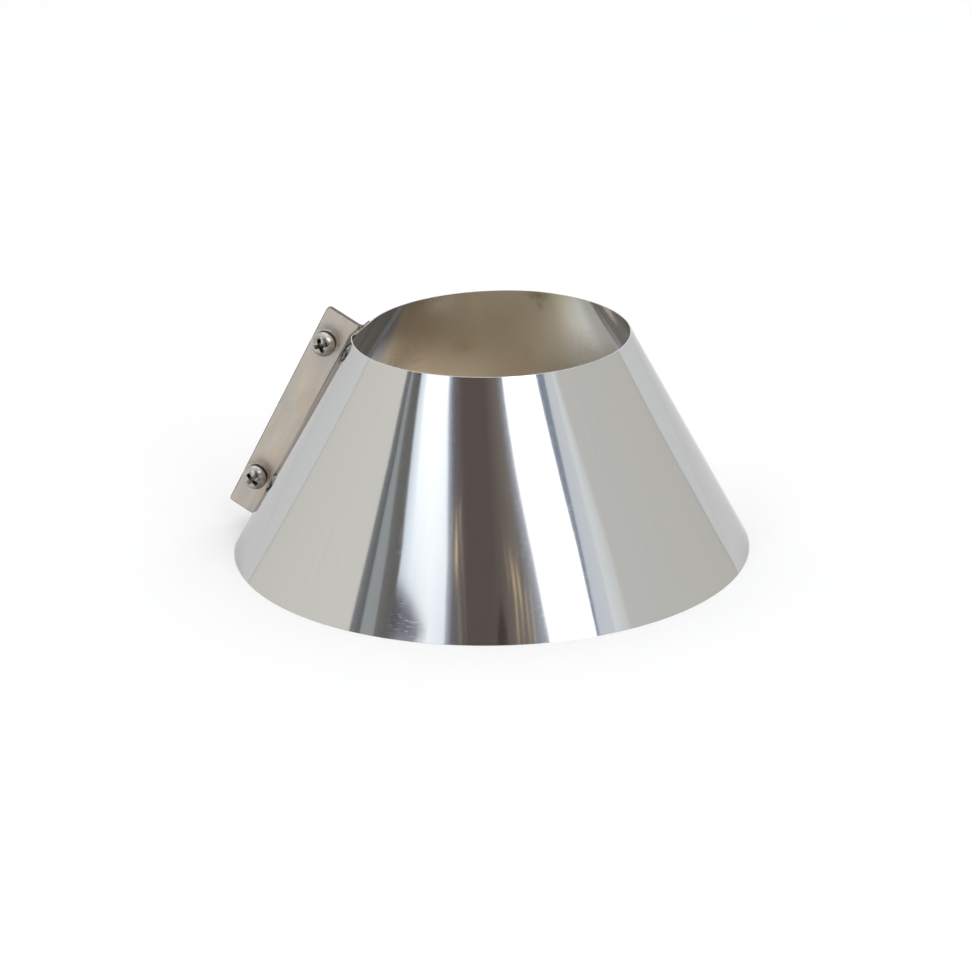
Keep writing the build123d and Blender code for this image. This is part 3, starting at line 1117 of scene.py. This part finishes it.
# %% Make the fasteners' finishes
bright_finish = grained_steel(
    "bright_steel", 500, 350.0, "Blotches",
    (0.3, (0.34, 0.318, 0.295)), (0.7, (0.48, 0.455, 0.425)), 0.15, 0.2,
)
# Grime and painted shade: dark in the cross recess of the screw heads
grime_and_shade_finish = grained_steel(
    "recess_grime_and_shade_steel", 700, 500.0, "Streaks",
    (0.35, (0.09, 0.08, 0.068)), (0.7, (0.30, 0.27, 0.235)), 0.4,
)
washer_finish = grained_steel(
    "washer_steel", 600, 260.0, "Blotches",
    (0.3, (0.56, 0.52, 0.46)), (0.7, (0.74, 0.70, 0.64)), 0.30, 0.15,
)
# Near black painted shade: the spring washers and the side band of each screw head, in the shadowed gap under
# the head
painted_shade_finish = grained_steel(
    "spring_steel_painted_shade", 700, 300.0, "Streaks",
    (0.35, (0.05, 0.046, 0.042)), (0.7, (0.12, 0.11, 0.10)), 0.42,
)

# %% Helpers for turned pieces
washer_thickness = 1.6 * mm
spring_washer_thickness = 1.6 * mm
washer_round = 0.15 * mm
washer_face = lug_sheet + washer_thickness
head_seat = washer_face + spring_washer_thickness


def on_lug(hole, distance):
    """The place on a hole's axis at this distance in front of the slit, facing the front."""
    stand = Matrix.Translation((hole[0], distance, hole[1]))
    return lug_place @ stand @ Matrix.Rotation(-pi / 2, 4, "X")


def ring_section(bm, inner, outer, thickness, segments):
    """Half of a washer's section with rounded corners, hanging down from the plane Z = 0."""
    corners = [(inner, 0, 0), (outer, 0, 0), (outer, 0, -thickness), (inner, 0, -thickness)]
    rounded_section(bm, corners, washer_round, segments)


def turn_piece(bm, profile, steps):
    """Spins an open or closed line of edges all round the Z axis."""
    spin(bm, profile, 2 * pi, steps, use_merge=True)
    bmesh.ops.remove_doubles(bm, verts=bm.verts, dist=0.0005 * mm)
    bmesh.ops.recalc_face_normals(bm, faces=bm.faces)


def fit_at_holes(make, name, node):
    """One piece at each hole. The names have a gap for upper or lower."""
    for level, hole in zip(("upper", "lower"), hole_places):
        stand_for(make(name.format(level), level, hole), node.format(level))


# %% Turn the washers
washer_outer = 6.25 * mm
washer_inner = 3.2 * mm


def turn_washer(name, level, hole):
    bm = bmesh.new()
    ring_section(bm, washer_inner, washer_outer, washer_thickness, 3)
    turn_piece(bm, bm.edges[:], 64)
    bmesh.ops.transform(bm, matrix=on_lug(hole, washer_face), verts=bm.verts)
    return finish_piece(bm, name, [washer_finish], radians(35))


fit_at_holes(turn_washer, "flat_{}_washer", "{}_washer")

# %% Coil the spring washers
spring_outer = 5.3 * mm
spring_inner = 3.1 * mm
slit_half_turn = radians(2.5)


def coil_spring_washer(name, level, hole):
    """A square section that is spun for less than a full turn, so that the slit stays open."""
    bm = bmesh.new()
    ring_section(bm, spring_inner, spring_outer, spring_washer_thickness, 2)
    bmesh.ops.transform(bm, matrix=Matrix.Rotation(slit_half_turn, 4, "Z"), verts=bm.verts)
    first_end = bm.edges[:]
    bent = spin(bm, first_end, 2 * pi - 2 * slit_half_turn, 60)
    bmesh.ops.holes_fill(bm, edges=first_end, sides=0)
    bmesh.ops.holes_fill(bm, edges=edges_in(bent["geom_last"]), sides=0)
    bmesh.ops.recalc_face_normals(bm, faces=bm.faces)
    bmesh.ops.transform(bm, matrix=on_lug(hole, head_seat), verts=bm.verts)
    # Painted shade: the whole spring washer is near black
    return finish_piece(bm, name, [painted_shade_finish], radians(35))


fit_at_holes(coil_spring_washer, "sprung_{}_washer", "{}_spring_washer")

# %% The screws' sizes
screw_length = 16 * mm
head_radius = 6 * mm
head_height = 4.6 * mm
head_side = 1.3 * mm
crown_radius = (head_radius**2 + (head_height - head_side) ** 2) / (2 * (head_height - head_side))
cross_reach = 3.4 * mm
cross_floor = 1.4 * mm
cross_depth = 3.2 * mm
cross_wing = 1.95 * mm
thread_pitch = 1.0 * mm
thread_depth = 0.55 * mm
tip_chamfer = 0.8 * mm
underside_round = 0.12 * mm
up_enough = 0.3
cross_turns = {"upper": 45, "lower": 72}


# %% Draw the head's section
def head_profile(bm):
    """Half of the pan head's section, from the middle of the crown to the underside at the shank."""
    crown_middle = head_height - crown_radius
    sweep = asin(head_radius / crown_radius)
    crown = [
        (crown_radius * sin(sweep * k / 14), 0, crown_middle + crown_radius * cos(sweep * k / 14))
        for k in range(15)
    ]
    side = [
        (head_radius, 0, underside_round),
        (head_radius - underside_round, 0, 0),
        (screw_diameter / 2 - thread_depth, 0, 0),
    ]
    return line_of(bm, crown + side)


# %% Press the cross
def press_cross(bm, turn_degrees):
    """Cuts the outline of the cross into the dome and presses it down to a small flat floor."""
    arms = [direction(turn_degrees), direction(turn_degrees + 90)]
    half_wing = cross_wing / 2

    def near_cross(face):
        return face.calc_center_median().xy.length < cross_reach * 1.4 and face.normal.z > up_enough

    def in_cross(face):
        spot = face.calc_center_median()
        across = sorted(abs(spot.xy.dot(way.xy)) for way in arms)
        return face.normal.z > up_enough and across[0] < half_wing and across[1] < cross_reach

    for way in arms:
        for side in (-1, 1):
            for at in (half_wing, cross_reach):
                near = [face for face in bm.faces if near_cross(face)]
                edges = edges_of(near)
                cut_at(bm, near + edges + verts_of(edges), way * side * at, way * side, close=1e-7)
    pressed = [face for face in bm.faces if in_cross(face)]
    made = bmesh.ops.extrude_face_region(bm, geom=pressed)["geom"]
    bmesh.ops.delete(bm, geom=pressed, context="FACES_ONLY")
    taper = (cross_floor - half_wing) / (cross_reach - half_wing)
    for vert in verts_in(made):
        pulled = Vector((0, 0))
        for way in arms:
            reach = vert.co.xy.dot(way.xy)
            past = max(abs(reach) - half_wing, 0)
            length = min(abs(reach), half_wing) + past * taper
            pulled += way.xy * (length if reach > 0 else -length)
        vert.co = (*pulled, head_height - cross_depth)
    return faces_in(made)


# %% Spin the thread
def turn_thread(bm, start, end, clear):
    """A 60 degree thread from start down to end, as a zigzag that is spun and lifted by one pitch."""
    crest = screw_diameter / 2 - clear
    root = crest - thread_depth
    turns = round((start - end) / thread_pitch) + 2
    corners = []
    for k in range(turns):
        top = start + thread_pitch - k * thread_pitch
        corners += [
            (root, 0, top),
            (crest, 0, top - 0.40 * thread_pitch),
            (crest, 0, top - 0.52 * thread_pitch),
            (root, 0, top - 0.92 * thread_pitch),
        ]
    zigzag = line_of(bm, corners)
    steps = 32
    spin(bm, zigzag, 2 * pi, steps, dvec=(0, 0, thread_pitch / steps))
    bmesh.ops.remove_doubles(bm, verts=bm.verts, dist=0.002 * mm)
    for height, way in ((start, 1), (end, -1)):
        cut_at(bm, bm.verts[:] + bm.edges[:] + bm.faces[:], (0, 0, height), (0, 0, way), clear=True)
    bmesh.ops.holes_fill(bm, edges=bm.edges[:], sides=0)
    for vert in bm.verts:
        most = screw_diameter / 2 - clear - max(0.0, end + tip_chamfer - vert.co.z)
        if vert.co.xy.length > most:
            vert.co.xy *= most / vert.co.xy.length
    bmesh.ops.recalc_face_normals(bm, faces=bm.faces)


# %% Turn the screws
bright, grimy_and_shaded, dark = 0, 1, 2
thread_clearance = 0.02 * mm


def turn_screw(name, level, hole):
    head = bmesh.new()
    turn_piece(head, head_profile(head), 72)
    recess = press_cross(head, cross_turns[level])
    head.normal_update()
    # The faces inside the cross take the dark recess finish: grime and painted shade
    for face in head.faces:
        spot = face.calc_center_median()
        below_dome = 0.5 * mm < spot.z < head_height - 0.2 * mm
        in_recess = below_dome and spot.xy.length < cross_reach and face.normal.z < 0.75
        face.material_index = grimy_and_shaded if in_recess else bright
    for face in recess:
        if face.is_valid:
            face.material_index = grimy_and_shaded
    # The head's side band below head_side takes the near-black finish, as painted shade under the head's rim
    for face in head.faces:
        if face.calc_center_median().z < head_side and face.material_index == bright:
            face.material_index = dark
    thread = bmesh.new()
    turn_thread(thread, 0.0, -screw_length, thread_clearance)
    joined = bpy.data.meshes.new("thread_part")
    thread.to_mesh(joined)
    thread.free()
    head.from_mesh(joined)
    bpy.data.meshes.remove(joined)
    bmesh.ops.transform(head, matrix=on_lug(hole, head_seat), verts=head.verts)
    return finish_piece(head, name, [bright_finish, grime_and_shade_finish, painted_shade_finish], radians(32))


fit_at_holes(turn_screw, "pan_head_{}_screw", "{}_screw")

# %% Turn the nuts and cut their flats
nut_width = 10 * mm
nut_height = 5 * mm
nut_chamfer = 0.5 * mm
nut_bore = screw_diameter / 2 + 0.05 * mm
bore_chamfer = 0.4 * mm


def turn_nut(name, level, hole):
    corner_radius = nut_width / 2 / cos(radians(30))
    bm = bmesh.new()
    blank = loop_of(
        bm,
        [
            (nut_bore, 0, -bore_chamfer),
            (nut_bore + bore_chamfer, 0, 0),
            (corner_radius - 2 * nut_chamfer, 0, 0),
            (corner_radius, 0, -nut_chamfer),
            (corner_radius, 0, nut_chamfer - nut_height),
            (corner_radius - 2 * nut_chamfer, 0, -nut_height),
            (nut_bore + bore_chamfer, 0, -nut_height),
            (nut_bore, 0, bore_chamfer - nut_height),
        ],
    )
    turn_piece(bm, blank, 96)
    for k in range(6):
        way = direction(60 * k + 30)
        whole = bm.verts[:] + bm.edges[:] + bm.faces[:]
        flat = cut_at(bm, whole, way * (nut_width / 2), way, clear=True)
        bmesh.ops.holes_fill(bm, edges=edges_in(flat), sides=0)
    bmesh.ops.recalc_face_normals(bm, faces=bm.faces)
    bmesh.ops.transform(bm, matrix=on_lug(hole, -lug_sheet), verts=bm.verts)
    return finish_piece(bm, name, [bright_finish], radians(20))


fit_at_holes(turn_nut, "hexagon_{}_nut", "{}_nut")

# %% [markdown]
# ## The last check
#
# The new pieces stand in the same box as the CAD model. Both boxes are written out, so that they can be
# compared.

# %% Compare the boxes and finish
bpy.context.view_layer.update()
low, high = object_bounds()
for name, a, b in zip("xyz", cad_low, low):
    print(f"lowest {name}: CAD {a / mm:.2f} mm, new {b / mm:.2f} mm")
for name, a, b in zip("xyz", cad_high, high):
    print(f"highest {name}: CAD {a / mm:.2f} mm, new {b / mm:.2f} mm")
